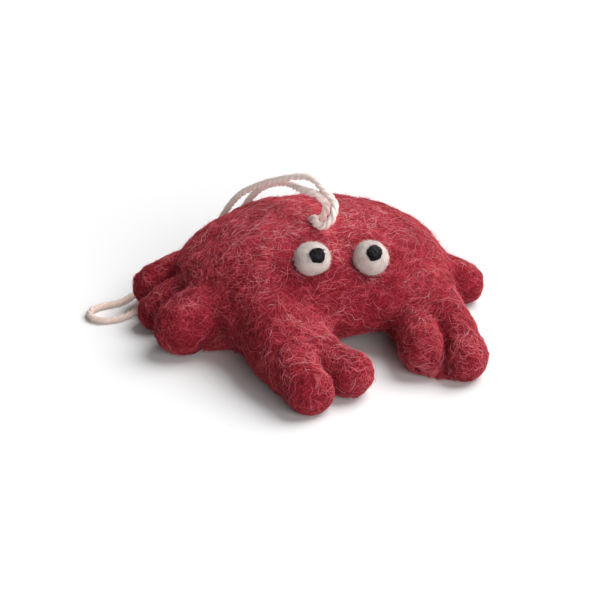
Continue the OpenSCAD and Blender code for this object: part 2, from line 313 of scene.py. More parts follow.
def limb_gap(p, name):
    """Distance to the nearest place on the limb's spine, less the limb's radius there, and no more than
    the reach, because nothing melts that far."""
    middles, radii = chains[name]
    low, high = middles.min(0) - radii.max() - reach, middles.max(0) + radii.max() + reach
    near = np.all((p > low) & (p < high), axis=1)
    start, way = middles[:-1], np.diff(middles, axis=0)
    off = p[near][:, None] - start
    share = np.clip((off * way).sum(-1) / (way**2).sum(-1), 0, 1)
    radius = radii[:-1] + share * np.diff(radii)
    gap = np.full(len(p), reach)
    gap[near] = np.minimum((np.linalg.norm(off - share[..., None] * way, axis=-1) - radius).min(-1), reach)
    return gap


# %% Melt them together, with lumps and hollows
def melted(gaps, softness):
    """The least of several gaps, rounded where two are alike: minus the softness times the log of the
    sum of each gap's exponential."""
    gaps = np.stack(gaps) / softness
    least = gaps.min(0)
    return softness * (least - np.log(np.exp(least - gaps).sum(0)))


def waves(p, length, seed, count=22):
    """Soft irregular lumps: sine waves of about one length that run in many directions, added up."""
    rng = np.random.default_rng(seed)
    ways = unit(rng.normal(size=(count, 3))) * (2 * np.pi / (length * rng.uniform(0.7, 1.5, count)))[:, None]
    return np.sin(p @ ways.T + rng.uniform(0, 2 * np.pi, count)).sum(1) * math.sqrt(2 / count)


def ball_of(node):
    """Middle and radius of a ball whose front, top and sides are whole, from its solid's box."""
    low, high = (np.array(c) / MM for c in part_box(node))
    radius = (high[0] - low[0]) / 2
    return np.array([(low[0] + high[0]) / 2, low[1] + radius, high[2] - radius]), radius


eyes = {side: ball_of(f"{side}_eye") for side in ("right", "left")}


# Depth, place and width: a dimple where the twine goes in, slopes at the left rear and the left, a
# pocket in the fork of the left claw, one behind the right middle leg and one between right front
# leg and arm, and a crown that stands a little higher at the right rear.
dents = (
    (0.9, crown_exit, 3.4), (0.6, (25, 10, 20), 14), (0.8, (30, -6, 16), 6),
    (2.3, (18.8, -39.8, 6.3), 2.8), (1.4, (-35, 9.3, 8.5), 3.2), (1.2, (-28, -13, 7.5), 3.5),
    (-0.9, (-6, 9, 25), 12),
)
rim_groove, groove_width = 0.75, 0.9


def hollows(p):
    """How much deeper the surface lies: the dents and a groove round each eye, each a bell curve."""
    deep = sum(depth * bell(far(p, place), width) for depth, place, width in dents)
    for middle, radius in eyes.values():
        deep += rim_groove * bell(far(p, middle) - radius, groove_width)
    return deep


def joined_gap(one, other, softness, crease):
    """Two gaps melted together, with a crease where they are alike, which is along their joint."""
    return melted([one, other], softness) + crease * bell(one - other, 1.5)


def wool_gap(p, folded=True):
    """A thumb and its arm part only near their tips, in a crease that is filled again at the table. The
    arms run softly into the body, the front legs too, with a crease low down, and leg meets leg in a
    sharp crease. Lumps of three sizes and the hollows change the gap, and it all lies a quarter of a
    millimetre deep, so that the strands on it come to the solids' size."""
    whole = body_gap(p)
    if folded:
        whole = melted([whole, *(limb_gap(p, fold) for fold in folds)], 1.2)
    low = np.clip(1 - p[:, 2] / 4, 0, 1)
    for side, fork, split in (("right", 39, 1.5), ("left", 30, 1.0)):
        arm, thumb = limb_gap(p, side + "_claw_arm"), limb_gap(p, side + "_claw_thumb")
        parted = np.clip((-p[:, 1] - fork) / 5, 0, 1)
        claw = joined_gap(arm, thumb, 2.2 - split * parted + 1.3 * low, split * parted * (1 - low))
        whole = melted([whole, claw], 2.2)
    legs = melted([limb_gap(p, name) for name in limbs if "leg" in name], 0.35)
    low, front = np.clip(1 - p[:, 2] / 9, 0, 1), np.clip(1 - (p[:, 1] + 4) / 6, 0, 1)
    whole = joined_gap(whole, legs, 0.5 + 0.6 * front * (1 - low), 0.25 + 0.65 * low)
    lumps = 0.15 * waves(p, 10, 1) + 0.10 * waves(p, 4, 2) + 0.05 * waves(p, 2, 4)
    return whole - lumps + hollows(p) + 0.25


def bare_gap(p):
    """The same without the two folds, for every skin but their own."""
    return wool_gap(p, folded=False)


def with_slope(gap, p, step=0.03):
    """The gap at each point, and its slope, by moving a little along each axis."""
    here = gap(p)
    slope = np.stack([gap(p + step * axis) - here for axis in np.eye(3)], -1) / step
    return here, slope


def settled(gap, p, rounds=5):
    """Points moved along the slope until their gap is nothing, by 2 mm at most in each round."""
    for _ in range(rounds):
        here, slope = with_slope(gap, p)
        move = (here / np.maximum((slope**2).sum(1), 0.05))[:, None] * slope
        p = p - move * np.minimum(1, 2 / np.maximum(np.linalg.norm(move, axis=1, keepdims=True), 1e-9))
    return p


print("eyes at", {side: np.round(middle, 1).tolist() for side, (middle, _) in eyes.items()})

# %% [markdown]
# ## The skins
# The skins could be cut out of one melted mesh, but then their edges would be ragged. So each starts
# as its solid's own form, and its points go to the melted surface, apart from those deep inside a
# neighbour, which stay hidden there. Where the crab stands, the table presses the wool flat.


# %% Bring each form to the wool's surface
def skin_points(start, gap):
    """Points near the surface move to it, points more than a few millimetres inside stay, and between
    them the move fades. A point that finds no rest on the surface stays too. Nothing goes below the
    table."""
    inside = -gap(start)
    there = settled(gap, start)
    held = np.clip((5.8 - inside) / 2.2, 0, 1) * (np.abs(gap(there)) < 0.15)
    held = held * held * (3 - 2 * held)
    moved = start + held[:, None] * (there - start)
    moved[:, 2] = np.maximum(moved[:, 2], 0)
    return moved


def signed_power(v, power):
    """A power of a number's size, with the number's own sign."""
    return np.sign(v) * np.abs(v) ** power


def globe(rows, cols):
    """Slopes and bearings of a ball's rings, without its two ends."""
    slope = np.linspace(-np.pi / 2, np.pi / 2, rows + 2)[1:-1, None]
    return slope, np.linspace(0, 2 * np.pi, cols, endpoint=False)[None, :]


def body_form(cols=300, rows=150, sunk=0.0):
    """Rings of the flattened ball: signed powers of the sine and cosine of a bearing and a slope."""
    slope, bearing = globe(rows, cols)
    side_power = np.where(slope < 0, belly_power, crown_power)
    rise = np.where(slope < 0, rim_h + pressed, crown_h - rim_h) - sunk
    out = np.cos(slope) ** (2 / side_power)
    x = (half_w - sunk) * out * signed_power(np.cos(bearing), 2 / plan_power)
    y = (half_d - sunk) * out * signed_power(np.sin(bearing), 2 / plan_power)
    z = rim_h + rise * signed_power(np.sin(slope), 2 / side_power) + 0 * x
    ends = [(0, 0, sunk - pressed), (0, 0, crown_h - sunk)]
    return np.vstack([np.stack([x, y, z], -1).reshape(-1, 3), ends]), rows, cols


def limb_form(name, cols=64, rows=80, cap=22):
    """Rings square to the limb's spine, narrow at the root so that its edge stays hidden, then a round
    cap whose rings follow a quarter circle."""
    t = np.linspace(0, 1, rows)
    middle, radius = limb_curve(name, t)
    radius = radius * np.minimum(0.35 + 3 * t, 1)
    ahead = unit(np.gradient(middle, axis=0))
    turn = np.linspace(0, np.pi / 2, cap + 2)[1:-1]
    middle = np.vstack([middle, middle[-1] + radius[-1] * np.sin(turn)[:, None] * ahead[-1]])
    tip = middle[rows - 1] + radius[-1] * ahead[-1]
    ahead = np.vstack([ahead, np.repeat(ahead[-1:], cap, 0)])
    radius = np.concatenate([radius, radius[-1] * np.cos(turn)])
    side = unit(np.cross(ahead, (0, 0, 1)))
    points = middle[:, None] + radius[:, None, None] * ring_about(side, np.cross(side, ahead), cols)
    return np.vstack([points.reshape(-1, 3), middle[:1], tip]), rows + cap, cols


skins = {}


def add_skin(name, form, gap=bare_gap):
    start, rows, cols = form
    points = skin_points(start, gap)
    piece = add_piece(name, points, *grid_faces(rows, cols))
    skins[name] = (piece, points[:-2].reshape(rows, cols, 3))
    return piece


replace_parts(add_skin("body_skin", body_form()), "body_cover")
for limb in limbs:
    if limb in folds:
        add_skin(limb + "_skin", limb_form(limb, 48, 40, 14), wool_gap)
    else:
        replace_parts(add_skin(limb + "_skin", limb_form(limb)), limb)
print({name: len(piece.data.polygons) for name, (piece, _) in skins.items()})

# %% [markdown]
# ## Wool core and knot
# Inside the dyed layer is undyed wool, and the twine's two ends are knotted in it. Neither shows,
# but the crab is made of them. The core is the body's own form, sunk by the cover's thickness and a
# small gap. The knot follows the curve of an overhand knot and its two legs rise to the crown.

# %% Make the core
cover_thick, core_gap = 4, 0.3
core_start, rows, cols = body_form(cols=120, rows=60, sunk=cover_thick + core_gap)
core_points = core_start + 0.12 * waves(core_start, 3, 5)[:, None] * (0, 0, 1)
core = add_piece("wool_core", core_points, *grid_faces(rows, cols))
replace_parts(core, "body_core")

# %% Tie the knot
knot_depth, knot_size, knot_run, knot_dia = 19, 0.62, 20, 1.4
leg_way = unit(route[1] - route[0])
knot_middle = crown_exit - knot_depth * leg_way
t = np.linspace(0, 2 * np.pi, 90)
trefoil = np.stack([np.sin(t) + 2 * np.sin(2 * t), np.cos(t) - 2 * np.cos(2 * t), -np.sin(3 * t)], -1)
leg_marks = np.linspace(0, knot_depth, 40)
forms, whole_line = [], [knot_middle + knot_size * trefoil]
for end in (route[0], route[-1]):
    leg_line = end - (knot_depth - leg_marks[:, None]) * leg_way
    forms += ply_forms(*plied(leg_line, leg_marks, twine_dia, seed=8))
    whole_line.append(leg_line)
forms += ply_forms(*plied(whole_line[0], np.linspace(0, knot_run, len(t)), knot_dia, seed=9))
knot_form = joined(forms)
knot = add_piece("twine_knot", *knot_form)
add_groove_shade(knot, knot_form[0], np.vstack(whole_line))
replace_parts(knot, "cord_knot")
print("knot at", np.round(knot_middle, 1).tolist())

# %% [markdown]
# ## Eyes and pupils
# The eyes are hard little balls of off-white felt, and the pupils rough black lumps pressed onto
# them. Plain balls would look like beads. These are balls whose radius is changed by soft waves,
# fine and shallow for the eyes, coarse and sharper for the pupils.


# %% Make the eyes
def ball_form(middle, radius, rows, cols):
    """The points of a ball by slope and bearing, then a point at each end."""
    slope, bearing = globe(rows, cols)
    ring = [np.cos(slope) * np.cos(bearing), np.cos(slope) * np.sin(bearing), np.sin(slope) + 0 * bearing]
    points = np.vstack([np.stack(ring, -1).reshape(-1, 3), (0, 0, -1), (0, 0, 1)])
    return middle + radius * points


def add_ball(name, node, slot, gap, middle, radius, rows, cols):
    """A ball brought to where its own gap is nothing. Gives back its ring grid."""
    points = settled(gap, ball_form(middle, radius, rows, cols))
    ball = add_piece(name, points, *grid_faces(rows, cols))
    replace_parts(ball, node)
    return points[:-2].reshape(rows, cols, 3)


def eye_gap_of(side):
    """The right eye is pressed a little flatter than the left one, and both are short of round."""
    middle, radius = eyes[side]
    squash = {"right": (1.01, 1.0, 0.90), "left": (0.97, 0.98, 0.95)}[side]

    def eye_gap(p):
        """Distance from the eye's middle, less its radius and the felt's small lumps."""
        lumps = 0.05 * waves(p, 3.8, 11) + 0.015 * waves(p, 1.6, 12)
        return np.linalg.norm((p - middle - (0, 0, 0.15)) / squash, axis=1) - radius - lumps

    return eye_gap


eye_grids = {
    side: add_ball(f"{side}_eye_ball", f"{side}_eye", "white_felt", eye_gap_of(side), *eyes[side], 46, 64)
    for side in eyes
}


# %% Make the pupils
def pupil_gap_of(side):
    """The pupil's gap, its middle and its radius."""
    middle, radius = ball_of(f"{side}_pupil")

    def pupil_gap(p):
        """Distance from the pupil's middle, less its radius and its lumps, which have sharp valleys."""
        rough = 0.08 * waves(p, 1.9, 21) - 0.15 * np.abs(waves(p, 0.9, 22)) + 0.09
        return far(p, middle) - radius - rough

    return pupil_gap, middle, radius


pupil_grids = {
    side: add_ball(f"{side}_pupil_lump", f"{side}_pupil", "black_bead", *pupil_gap_of(side), 40, 56)
    for side in eyes
}
print("eyes and pupils:", len(eye_grids) + len(pupil_grids))

# %% [markdown]
# ## Finishes from nodes
# A finish is a small program of nodes. Wired up one by one they would take many lines, so a wire
# that knows sums is used: adding or multiplying two wires adds the Math node, and one method makes
# any other node from its settings and its sockets.


# %% A wire that adds up, and a finish that holds the nodes
class Wire:
    """An output socket in a finish. Sums on it add Math nodes."""

    def __init__(self, finish, socket):
        self.finish, self.socket = finish, socket

    def sum(self, operation, a, b):
        return self.finish.node("Math", {"operation": operation}, {0: a, 1: b})

    def __add__(self, other):
        return self.sum("ADD", self, other)

    def __sub__(self, other):
        return self.sum("SUBTRACT", self, other)

    def __rsub__(self, other):
        return self.sum("SUBTRACT", other, self)

    def __mul__(self, other):
        return self.sum("MULTIPLY", self, other)

    __radd__, __rmul__ = __add__, __mul__


def socket_named(sockets, key):
    """A socket by number, by name or by identifier, and the enabled one where several share a name."""
    if isinstance(key, int):
        return sockets[key]
    return next(s for s in sockets if key in (s.name, s.identifier) and s.enabled)


class Finish:
    """A material with a Principled shader. Constants go on its own sockets, patterns come as wires."""

    def __init__(self, name, tree=None):
        if tree is None:
            self.material = bpy.data.materials.new(name)
            self.material.use_nodes = True
            tree = self.material.node_tree
        self.tree = tree
        tree.nodes.clear()

    def node(self, kind, settings=None, sockets=None, out=0):
        """A node of one type: its settings first, stops of a ramp among them, then values or wires."""
        made = self.tree.nodes.new("ShaderNode" + kind)
        for key, value in (settings or {}).items():
            if key != "stops":
                setattr(made, key, value)
                continue
            ramp = made.color_ramp
            while len(ramp.elements) < len(value):
                ramp.elements.new(0.5)
            for stop, (place, colour) in zip(ramp.elements, value):
                stop.position, stop.color = place, (*colour, 1)
        for key, value in (sockets or {}).items():
            socket = socket_named(made.inputs, key)
            if isinstance(value, Wire):
                self.tree.links.new(value.socket, socket)
            else:
                socket.default_value = value
        return Wire(self, socket_named(made.outputs, out))

    def ramp(self, value, *stops):
        return self.node("ValToRGB", {"stops": stops}, {"Fac": value})

    def blend(self, share, one, other, kind="MIX"):
        """One colour to another by a share, or one times the other if asked."""
        colours = {"Factor_Float": share, "A_Color": one, "B_Color": other}
        return self.node("Mix", {"data_type": "RGBA", "blend_type": kind}, colours, "Result_Color")

    def noise(self, size_mm, detail=3, distortion=0.0, ridged=False):
        """Noise whose lumps are about one size. Ridged noise has thin bright lines, like matted strands."""
        kind = {"noise_type": "RIDGED_MULTIFRACTAL" if ridged else "FBM"}
        return self.node("TexNoise", kind, {
            "Vector": self.place(), "Scale": 1 / (size_mm * MM), "Detail": detail, "Distortion": distortion,
        })

    def place(self):
        """Where a point lies on its object."""
        return self.node("TexCoord", out="Object")

    def axis(self, name):
        """Where a point lies along one axis of its object."""
        return self.node("SeparateXYZ", None, {"Vector": self.place()}, name)

    def bump(self, height, depth_mm, strength):
        """Shading as if the surface rose by a height, which goes from nothing to one, times the depth."""
        return self.node("Bump", None, {"Height": height, "Distance": depth_mm * MM, "Strength": strength})

    def straight_view(self):
        """One where the camera looks, straight or by way of gloss or glass, and nothing for other light."""
        seen = self.node("LightPath", out="Is Camera Ray") + self.node("LightPath", out="Is Glossy Ray")
        return seen + self.node("LightPath", out="Is Transmission Ray")

    def finish(self, colour, roughness, **sockets):
        named = {key.replace("_", " "): value for key, value in sockets.items()}
        shader = self.node("BsdfPrincipled", None, {"Base Color": colour, "Roughness": roughness, **named})
        self.node_end("OutputMaterial", shader)
        return self.material

    def node_end(self, kind, shader):
        self.tree.links.new(shader.socket, self.tree.nodes.new("ShaderNode" + kind).inputs["Surface"])


# %% [markdown]
# ## Red felt
# The skin under the strands is a mat of crimson wool with broad paler patches. Its colour follows the
# height of its bump: darker in its gaps, which is painted shade, rose on the ridges, a painted
# highlight, and paler up to the crown, a painted sheen. Plain noise would look like stone, so ridged
# noise is used, whose thin crossing lines look like matted strands. Two sizes of it make the colour
# and the bump, and a little sheen adds the soft pale edge of wool.

# %% Mix the red felt
DEEP, CRIMSON, ROSE, DUSTY, PALE = (
    (0.18, 0.008, 0.016), (0.59, 0.041, 0.069), (0.79, 0.118, 0.153), (0.87, 0.26, 0.295), (0.92, 0.50, 0.52),
)


def red_felt():
    """Paler with the mat's height, a painted highlight on the ridges and painted shade in the gaps, paler in
    patches, and paler up to the crown, a painted sheen.
    """
    f = Finish("red_felt")
    patches = f.noise(7, 3, 0.6)
    coarse, fine = f.noise(1.3, 4, 1.2, ridged=True), f.noise(0.45, 3, 0.8, ridged=True)
    height = coarse * 0.55 + fine * 0.45
    # Painted sheen: the felt turns paler over the last millimetres up to the crown.
    crown = f.node("MapRange", None, {
        "Value": f.axis("Z"), "From Min": 21 * MM, "From Max": 27 * MM,
    }, "Result")
    # Painted shade and highlight: the tone follows the bump's height, dark in the gaps, pale on the ridges.
    tone = height * 0.55 + patches * 0.5 + crown * 0.24 - 0.20
    colour = f.ramp(tone, (0.10, DEEP), (0.50, CRIMSON), (0.90, ROSE))
    normal = f.bump(height, 0.25, 0.9)
    return f.finish(
        colour, 0.9, Normal=normal, Sheen_Weight=0.12, Sheen_Roughness=0.45,
        Sheen_Tint=(1.0, 0.45, 0.45, 1), Specular_IOR_Level=0.1,
    )


felt = red_felt()
for piece, _ in skins.values():
    piece.data.materials.append(felt)

# %% [markdown]
# ## Strands of wool
# Felt is known by its strands: short ones matted flat, long curly ones that have worked loose, and
# a fuzz that softens every outline. Blender's hair could grow them, but it isn't a mesh. Here each
# strand is a thin three-sided tube along a path that wanders over the melted surface, so it runs
# across from body to leg as real wool does.


# %% Let strands wander over a surface
rng = np.random.default_rng(40)


def scattered(grid, count, gap):
    """Random places on a ring grid, spread evenly by area, only where it shows above the table."""
    a, d = grid[:-1], grid[1:]
    b, c = np.roll(a, -1, 1), np.roll(d, -1, 1)
    area = np.linalg.norm(np.cross(c - a, d - b), axis=-1).ravel() / 2
    middle = ((a + b + c + d) / 4).reshape(-1, 3)
    area = area * (gap(middle) > -0.3) * (middle[:, 2] > 0.25)
    picked = rng.choice(len(area), count, p=area / area.sum())
    a, b, c, d = (corner.reshape(-1, 3)[picked] for corner in (a, b, c, d))
    s, t = rng.random((2, count, 1))
    return (1 - s) * ((1 - t) * a + t * d) + s * ((1 - t) * b + t * c)


def locks(p, flow=0.0):
    """Where strands set out for: a way that neighbours share, so that they lie in locks, and high on the
    body the flow, which runs level round it."""
    shared = np.stack([waves(p, 9, seed) for seed in (31, 32, 33)], -1)
    level = unit(np.stack([-p[:, 1], p[:, 0], 0 * p[:, 0]], -1))
    return 0.3 * shared + flow * np.clip(p[:, 2:] / 8 - 1, 0, 1) * level


def wandering(gap, starts, length, height, curl, heading):
    """Paths over a surface: at every station each is set to its own height over the surface, then takes
    a step along it, turned about the surface's normal by a curl that swings slowly from one side to
    the other, and by the strand's crimp, which is a quick and even wave. The crimp is tight on the
    limbs and the face, and long and loose high on the body."""
    (n, stations), p = height.shape, starts
    step = (length / (stations - 1))[:, None]
    swing, wave, phase = rng.normal(0, curl, n), rng.uniform(0.3, 1.2, n), rng.uniform(0, 6.3, n)
    ease = np.clip(starts[:, 2] / 10 - 0.9, 0, 1)
    crimp = rng.uniform(0.15, 0.6, n) * (1 - 0.3 * ease)
    quick, shift = rng.uniform(1.1, 2.8, n) * (1 - 0.25 * ease), rng.uniform(0, 6.3, n)
    way = 2.0 * heading + rng.normal(size=(n, 3))
    paths, normals = [], []
    for k in range(stations):
        here, slope = with_slope(gap, p)
        normal = unit(slope)
        p = p - ((here - height[:, k]) / np.maximum((slope**2).sum(1), 0.3))[:, None] * slope
        p[:, 2] = np.maximum(p[:, 2], 0.04)
        paths.append(p)
        normals.append(normal)
        way = unit(way - (way * normal).sum(1)[:, None] * normal)
        run = k * step[:, 0]
        bend = swing * (0.5 + np.cos(phase + wave * run)) + crimp * quick * np.cos(shift + quick * run)
        angle = (bend * step[:, 0] + rng.normal(0, 0.15, n))[:, None]
        way = np.cos(angle) * way + np.sin(angle) * np.cross(normal, way)
        p = p + step * way
    return np.stack(paths, 1), np.stack(normals, 1)


# %% Spin paths into thin tubes
TONES = 24


def add_strands(name, dye, paths, normals, thick, tone):
    """Three-sided tubes, thinner at both ends. Their map runs along the strand one way, and up the
    other way it has a band for each tone. A dye is the slot of the wool, which is not used, and
    the finish of its strands."""
    n, k = paths.shape[:2]
    ahead = unit(np.gradient(paths, axis=1))
    side = unit(np.cross(ahead, normals))
    t = np.linspace(0, 1, k)
    radius = (thick[:, None] * (0.35 + 0.65 * np.sin(np.pi * t) ** 0.7))[..., None, None]
    points = (paths[:, :, None] + radius * ring_about(side, np.cross(side, ahead), 3)).reshape(-1, 3)
    i, j = np.meshgrid(np.arange(k - 1), np.arange(3), indexing="ij")
    here, beside = i * 3 + j, i * 3 + (j + 1) % 3
    one = np.stack([here, beside, beside + 3, here + 3], -1).reshape(-1, 4)
    ends = np.array([(0, 2, 1), (3 * k - 3, 3 * k - 2, 3 * k - 1)])
    first = (np.arange(n) * 3 * k)[:, None, None]
    piece = add_piece(name, points, (first + one).reshape(-1, 4), (first + ends).reshape(-1, 3))
    low = (np.clip((tone * TONES).astype(int), 0, TONES - 1)[:, None, None] + 0.2) / TONES
    band = np.array([0, 0.6, 0.6, 0]) / TONES
    along = np.stack([t[i], t[i], t[i + 1], t[i + 1]], -1).reshape(1, -1, 4)
    quad_map = np.stack(np.broadcast_arrays(along, low + band), -1).reshape(-1, 2)
    end_along = np.array([(0, 0, 0.05), (0.95, 0.95, 1)])[None]
    end_map = np.stack(np.broadcast_arrays(end_along, low + band[:3]), -1).reshape(-1, 2)
    layer = piece.data.uv_layers.new(name="OFBake")
    layer.data.foreach_set("uv", np.vstack([quad_map, end_map]).astype(np.float32).ravel())
    slot, finish = dye
    piece.data.materials.append(finish)


def spun(name, dye, gap, starts, length, height, curl, heading, thick, tones):
    """Strands that wander from their starts. Length, thickness and tone each lie between two limits."""
    n = len(starts)
    paths, normals = wandering(gap, starts, rng.uniform(*length, n), height, curl, heading)
    add_strands(name, dye, paths, normals, rng.uniform(*thick, n), rng.uniform(*tones, n))


def lying(height, stations, sunk=0.05):
    """Heights of a strand that rises from the surface and sinks back into it."""
    t = np.linspace(0, 1, stations)
    return height[:, None] * np.sin(np.pi * t) ** 0.8 - sunk


# %% Dye the strands
def dyed(slot, name, *stops, gloss=0.15):
    """Each band of the map is one tone, and a strand is painted a little darker where it goes into the wool,
    as shade.
    """
    f = Finish(name)
    split = f.node("UVMap", {"uv_map": "OFBake"})
    along = f.node("SeparateXYZ", None, {"Vector": split}, "X")
    tone = f.node("SeparateXYZ", None, {"Vector": split}, "Y")
    colour = f.ramp(tone, *stops)
    # Painted shade: both ends of a strand, where it goes into the wool, are darkened.
    edge = f.ramp(along, (0.0, (0.62,) * 3), (0.2, (1, 1, 1)), (0.8, (1, 1, 1)), (1.0, (0.62,) * 3))
    return slot, f.finish(f.blend(1.0, colour, edge, "MULTIPLY"), 0.85, Specular_IOR_Level=gloss)


red = dyed(
    "red_felt", "red_strands", (0.0, (0.10, 0.03, 0.09)), (0.04, DEEP), (0.35, CRIMSON), (0.66, ROSE),
    (0.86, DUSTY), (0.965, PALE), (0.99, (0.62, 0.27, 0.12)),
)
white = dyed(
    "white_felt", "white_strands", (0.0, (0.60, 0.47, 0.44)), (0.4, (0.84, 0.74, 0.70)),
    (1.0, (0.95, 0.89, 0.85)),
)

# %% Mat the short strands
def mat(name, starts, flow=0.0, along=(0, 0, 0)):
    """Short strands that lie in the surface, on a limb mostly along it. They are painted paler where they
    face up and most on the crown, as painted light from above, paler at the claws' tips, a painted
    highlight, and darker low on the body, painted shade."""
    n = len(starts)
    clump = waves(starts, 3.2, 34)
    height = np.abs(rng.normal(0.04, 0.09, n)) + np.clip(0.05 * clump, 0, 0.12)
    length = rng.uniform(2.2, 4.8, n)
    heading = locks(starts, flow) + along
    paths, normals = wandering(wool_gap, starts, length, lying(height, 6), 0.4, heading)
    facing_up = np.clip(normals[:, 2, 2], 0, 1)
    # Painted light from above: paler where the strands face up.
    tone = rng.normal(0.36, 0.17, n) + 0.06 * clump + 0.05 * waves(starts, 9, 35) + 0.16 * facing_up**2
    # Painted sheen on the crown, and painted shade low on the body.
    tone += 0.28 * np.clip(starts[:, 2] / 5 - 4.2, 0, 1) - 0.25 * flow * np.clip(1 - starts[:, 2] / 9, 0, 1)
    # Painted highlight at the claws' tips.
    tone += 0.10 * np.clip(-starts[:, 1] / 12 - 2.5, 0, 1)
    tone = np.clip(tone, 0.05, 0.92)
    add_strands(name, red, paths, normals, rng.uniform(0.028, 0.052, n), tone)


body_grid = skins["body_skin"][1]
starts = scattered(body_grid, 14000, wool_gap)
matted = len(starts)
bearing = np.degrees(np.arctan2(starts[:, 1] / half_d, starts[:, 0] / half_w))
quarter = ((bearing + 45) // 90).astype(int) % 4
for number, place in enumerate(("left", "rear", "right", "front")):
    mat(f"{place}_mat", starts[quarter == number], flow=0.9)
for limb in limbs:
    grid = skins[limb + "_skin"][1]
    size = np.ptp(grid.reshape(-1, 3), axis=0)
    count = int(5.2 * size.max() * limbs[limb][2][2])
    spine = chains[limb][0]
    mat(limb + "_mat", scattered(grid, count, wool_gap), along=0.5 * unit(spine[-1] - spine[0]))
    matted += count
print("matted strands:", matted)

# %% Let long strands work loose
all_grids = [grid for _, grid in skins.values()]
body_share, limbs_share = 0.66, 0.34
shares = [body_share] + [limbs_share / len(limbs)] * len(limbs)


def let_loose(name, count, lengths, stations, curl, high, thick, tone):
    """Strands that rise off the mat and come back into it. A few are violet or rust, from other dyes."""
    starts = np.vstack([scattered(g, int(count * s), wool_gap) for g, s in zip(all_grids, shares)])
    n = len(starts)
    height = lying(np.abs(rng.normal(0.08, high, n)), stations)
    heading = locks(starts, flow=0.9)
    paths, normals = wandering(wool_gap, starts, rng.uniform(*lengths, n), height, curl, heading)
    tone = np.clip(rng.normal(tone, 0.09, n), 0.5, 0.96)
    odd = rng.random(n)
    tone = np.where(odd < 0.03, 0.0, np.where(odd > 0.98, 0.999, tone))
    add_strands(name, red, paths, normals, rng.uniform(*thick, n), tone)


let_loose("loose_strands", 2600, (3, 7), 11, 0.30, 0.16, (0.022, 0.040), 0.79)
let_loose("long_strands", 280, (8, 18), 24, 0.20, 0.24, (0.028, 0.044), 0.86)

# %% Raise the fuzz
for name, grids, count in (("body_fuzz", all_grids[:1], 8500), ("limb_fuzz", all_grids[1:], 6500)):
    starts = np.vstack([scattered(grid, count // len(grids), wool_gap) for grid in grids])
    n = len(starts)
    height = np.clip(rng.lognormal(-0.6, 0.5, n), 0.2, 1.6)[:, None] * np.linspace(0, 1, 3) ** 1.3 - 0.05
    length, heading = rng.uniform(0.4, 2.0, n), locks(starts)
    paths, normals = wandering(wool_gap, starts, length, height, 0.6, heading)
    tone = np.clip(rng.normal(0.58, 0.16, n), 0.1, 0.95)
    add_strands(name, red, paths, normals, rng.uniform(0.016, 0.028, n), tone)
    print(name, n)

# %% Wrap the eyes in white wool, and let red wool creep over their rims
def creeping(middle, radius, count):
    """Places in the wool near an eye's rim, and the way from each to the eye's middle."""
    grid = body_grid.reshape(-1, 3)
    near = grid[(np.abs(wool_gap(grid)) < 0.5) & (np.abs(far(grid, middle) - radius) < 1.6)]
    starts = near[rng.integers(0, len(near), count)] + rng.normal(0, 0.25, (count, 3))
    return starts, unit(middle - starts)


for side, (middle, radius) in eyes.items():
    gap = eye_gap_of(side)
    starts = scattered(eye_grids[side], 1400, wool_gap)
    height = lying(np.abs(rng.normal(0.02, 0.12, len(starts))), 5, 0.03)
    spun(
        f"{side}_eye_strands", white, gap, starts, (0.8, 2.2), height, 0.5, locks(starts),
        (0.020, 0.038), (0, 0.98),
    )
    starts = scattered(eye_grids[side], 1000, wool_gap)
    height = rng.uniform(0.15, 0.75, len(starts))[:, None] * np.linspace(0, 1, 3) - 0.03
    spun(
        f"{side}_eye_down", white, gap, starts, (0.2, 1.0), height, 0.6, locks(starts),
        (0.013, 0.021), (0.5, 0.98),
    )

    def rim_gap(p):
        """Wool and eye melted together."""
        return melted([wool_gap(p), gap(p)], 0.4)

    starts, heading = creeping(middle, radius, 90)
    height = lying(rng.uniform(0.05, 0.40, len(starts)), 6, 0.0)
    spun(
        f"{side}_eye_rim", red, rim_gap, starts, (1.0, 2.6), height, 0.5, heading,
        (0.016, 0.028), (0.3, 0.85),
    )

# %% Spin black wool over the pupils
black = dyed(
    "black_bead", "black_strands", (0.0, (0.002, 0.002, 0.003)), (0.7, (0.004, 0.003, 0.005)),
    (1.0, (0.020, 0.015, 0.020)), gloss=0.03,
)
for side in eyes:
    gap, _, _ = pupil_gap_of(side)
    starts = scattered(pupil_grids[side], 200, eye_gap_of(side))
    height = lying(np.abs(rng.normal(0.03, 0.05, len(starts))), 5, 0.02)
    spun(
        f"{side}_pupil_strands", black, gap, starts, (0.6, 1.8), height, 0.6, locks(starts),
        (0.022, 0.042), (0, 0.98),
    )

# %% Catch some red wool on the twine's stub
starts = crown_exit + rng.normal(0, 1.3, (70, 3)) * (1, 0.9, 0.2)
rise = np.sin(np.pi * np.minimum(np.linspace(0, 1, 8) * 1.25, 1)) ** 1.2
height = rng.uniform(0.5, 2.2, len(starts))[:, None] * rise
spun(
    "caught_strands", red, wool_gap, starts, (2.0, 6.0), height, 0.45, locks(starts),
    (0.022, 0.036), (0.35, 0.9),
)

